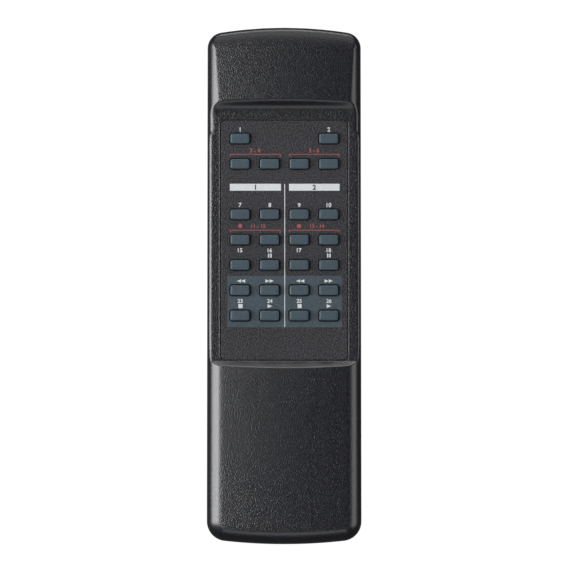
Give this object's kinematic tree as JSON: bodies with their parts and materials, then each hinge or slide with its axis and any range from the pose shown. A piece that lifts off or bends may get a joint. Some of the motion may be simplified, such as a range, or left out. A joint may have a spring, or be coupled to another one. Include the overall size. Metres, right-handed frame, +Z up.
{
  "type": "infrared remote control",
  "caption": "Slim handheld infrared remote with a sunk key panel, rows of oblong rubber keys, a dark front window and a sliding battery door on its back.",
  "frame": {"origin": "under the middle of the case, on the plane that its back lies on", "axes": "+X to the right as the keys face the reader, +Y towards the infrared window, +Z up through the keys"},
  "size_m": [0.05, 0.1676, 0.02],
  "materials": {
    "case": "fine grain, charcoal with a blue cast",
    "face_plate": "fine speckle, warm dark grey, printed",
    "keys": "smooth matte, blue grey",
    "rubber": "matte",
    "board": "brown paper laminate",
    "ir_window": "dark red-black, polished",
    "led": "clear violet-grey resin",
    "cell": null,
    "contact_metal": "bright nickel plate",
    "screw_steel": "zinc plate",
    "chip": "moulded epoxy",
    "resonator": "dipped ceramic",
    "capacitor": "shrunk sleeve",
    "resistor": "beige lacquer"
  },
  "bodies": {
    "case": {"bottom_shell": "case", "capacitor": "capacitor", "case_screw_left": "screw_steel", "case_screw_right": "screw_steel", "cell_left": "cell", "cell_right": "cell", "circuit_board": "board", "contact_bridge": "contact_metal", "contact_negative": "contact_metal", "contact_positive": "contact_metal", "face_plate": "face_plate", "ir_led": "led", "ir_window": "ir_window", "keypad_sheet": "rubber", "remote_chip": "chip", "resistor_1": "resistor", "resistor_2": "resistor", "resonator": "resonator", "spring_head": "contact_metal", "spring_tail": "contact_metal", "top_shell": "case", "transistor": "chip"},
    "door": {"battery_door": "case"},
    "key_deck1_counter_reset": {"key_deck1_counter_reset": "keys"},
    "key_deck1_fast_forward": {"key_deck1_fast_forward": "keys"},
    "key_deck1_pause": {"key_deck1_pause": "keys"},
    "key_deck1_play": {"key_deck1_play": "keys"},
    "key_deck1_record_a": {"key_deck1_record_a": "keys"},
    "key_deck1_record_b": {"key_deck1_record_b": "keys"},
    "key_deck1_record_mute": {"key_deck1_record_mute": "keys"},
    "key_deck1_return_to_zero": {"key_deck1_return_to_zero": "keys"},
    "key_deck1_rewind": {"key_deck1_rewind": "keys"},
    "key_deck1_stop": {"key_deck1_stop": "keys"},
    "key_deck2_counter_reset": {"key_deck2_counter_reset": "keys"},
    "key_deck2_fast_forward": {"key_deck2_fast_forward": "keys"},
    "key_deck2_pause": {"key_deck2_pause": "keys"},
    "key_deck2_play": {"key_deck2_play": "keys"},
    "key_deck2_record_a": {"key_deck2_record_a": "keys"},
    "key_deck2_record_b": {"key_deck2_record_b": "keys"},
    "key_deck2_record_mute": {"key_deck2_record_mute": "keys"},
    "key_deck2_return_to_zero": {"key_deck2_return_to_zero": "keys"},
    "key_deck2_rewind": {"key_deck2_rewind": "keys"},
    "key_deck2_stop": {"key_deck2_stop": "keys"},
    "key_dimmer": {"key_dimmer": "keys"},
    "key_dub_a": {"key_dub_a": "keys"},
    "key_dub_b": {"key_dub_b": "keys"},
    "key_parallel_a": {"key_parallel_a": "keys"},
    "key_parallel_b": {"key_parallel_b": "keys"},
    "key_repeat": {"key_repeat": "keys"}
  },
  "joints": [
    {"name": "battery_door_slide", "type": "slide", "parent": "case", "child": "door", "axis": [0, -1, 0], "range_m": [0, 0.062]},
    {"name": "key_deck1_counter_reset_press", "type": "slide", "parent": "case", "child": "key_deck1_counter_reset", "axis": [0, 0, -1], "range_m": [0, 0.0007], "stiffness_N_per_m": 2000},
    {"name": "key_deck1_fast_forward_press", "type": "slide", "parent": "case", "child": "key_deck1_fast_forward", "axis": [0, 0, -1], "range_m": [0, 0.0007], "stiffness_N_per_m": 2000},
    {"name": "key_deck1_pause_press", "type": "slide", "parent": "case", "child": "key_deck1_pause", "axis": [0, 0, -1], "range_m": [0, 0.0007], "stiffness_N_per_m": 2000},
    {"name": "key_deck1_play_press", "type": "slide", "parent": "case", "child": "key_deck1_play", "axis": [0, 0, -1], "range_m": [0, 0.0007], "stiffness_N_per_m": 2000},
    {"name": "key_deck1_record_a_press", "type": "slide", "parent": "case", "child": "key_deck1_record_a", "axis": [0, 0, -1], "range_m": [0, 0.0007], "stiffness_N_per_m": 2000},
    {"name": "key_deck1_record_b_press", "type": "slide", "parent": "case", "child": "key_deck1_record_b", "axis": [0, 0, -1], "range_m": [0, 0.0007], "stiffness_N_per_m": 2000},
    {"name": "key_deck1_record_mute_press", "type": "slide", "parent": "case", "child": "key_deck1_record_mute", "axis": [0, 0, -1], "range_m": [0, 0.0007], "stiffness_N_per_m": 2000},
    {"name": "key_deck1_return_to_zero_press", "type": "slide", "parent": "case", "child": "key_deck1_return_to_zero", "axis": [0, 0, -1], "range_m": [0, 0.0007], "stiffness_N_per_m": 2000},
    {"name": "key_deck1_rewind_press", "type": "slide", "parent": "case", "child": "key_deck1_rewind", "axis": [0, 0, -1], "range_m": [0, 0.0007], "stiffness_N_per_m": 2000},
    {"name": "key_deck1_stop_press", "type": "slide", "parent": "case", "child": "key_deck1_stop", "axis": [0, 0, -1], "range_m": [0, 0.0007], "stiffness_N_per_m": 2000},
    {"name": "key_deck2_counter_reset_press", "type": "slide", "parent": "case", "child": "key_deck2_counter_reset", "axis": [0, 0, -1], "range_m": [0, 0.0007], "stiffness_N_per_m": 2000},
    {"name": "key_deck2_fast_forward_press", "type": "slide", "parent": "case", "child": "key_deck2_fast_forward", "axis": [0, 0, -1], "range_m": [0, 0.0007], "stiffness_N_per_m": 2000},
    {"name": "key_deck2_pause_press", "type": "slide", "parent": "case", "child": "key_deck2_pause", "axis": [0, 0, -1], "range_m": [0, 0.0007], "stiffness_N_per_m": 2000},
    {"name": "key_deck2_play_press", "type": "slide", "parent": "case", "child": "key_deck2_play", "axis": [0, 0, -1], "range_m": [0, 0.0007], "stiffness_N_per_m": 2000},
    {"name": "key_deck2_record_a_press", "type": "slide", "parent": "case", "child": "key_deck2_record_a", "axis": [0, 0, -1], "range_m": [0, 0.0007], "stiffness_N_per_m": 2000},
    {"name": "key_deck2_record_b_press", "type": "slide", "parent": "case", "child": "key_deck2_record_b", "axis": [0, 0, -1], "range_m": [0, 0.0007], "stiffness_N_per_m": 2000},
    {"name": "key_deck2_record_mute_press", "type": "slide", "parent": "case", "child": "key_deck2_record_mute", "axis": [0, 0, -1], "range_m": [0, 0.0007], "stiffness_N_per_m": 2000},
    {"name": "key_deck2_return_to_zero_press", "type": "slide", "parent": "case", "child": "key_deck2_return_to_zero", "axis": [0, 0, -1], "range_m": [0, 0.0007], "stiffness_N_per_m": 2000},
    {"name": "key_deck2_rewind_press", "type": "slide", "parent": "case", "child": "key_deck2_rewind", "axis": [0, 0, -1], "range_m": [0, 0.0007], "stiffness_N_per_m": 2000},
    {"name": "key_deck2_stop_press", "type": "slide", "parent": "case", "child": "key_deck2_stop", "axis": [0, 0, -1], "range_m": [0, 0.0007], "stiffness_N_per_m": 2000},
    {"name": "key_dimmer_press", "type": "slide", "parent": "case", "child": "key_dimmer", "axis": [0, 0, -1], "range_m": [0, 0.0007], "stiffness_N_per_m": 2000},
    {"name": "key_dub_a_press", "type": "slide", "parent": "case", "child": "key_dub_a", "axis": [0, 0, -1], "range_m": [0, 0.0007], "stiffness_N_per_m": 2000},
    {"name": "key_dub_b_press", "type": "slide", "parent": "case", "child": "key_dub_b", "axis": [0, 0, -1], "range_m": [0, 0.0007], "stiffness_N_per_m": 2000},
    {"name": "key_parallel_a_press", "type": "slide", "parent": "case", "child": "key_parallel_a", "axis": [0, 0, -1], "range_m": [0, 0.0007], "stiffness_N_per_m": 2000},
    {"name": "key_parallel_b_press", "type": "slide", "parent": "case", "child": "key_parallel_b", "axis": [0, 0, -1], "range_m": [0, 0.0007], "stiffness_N_per_m": 2000},
    {"name": "key_repeat_press", "type": "slide", "parent": "case", "child": "key_repeat", "axis": [0, 0, -1], "range_m": [0, 0.0007], "stiffness_N_per_m": 2000}
  ]
}
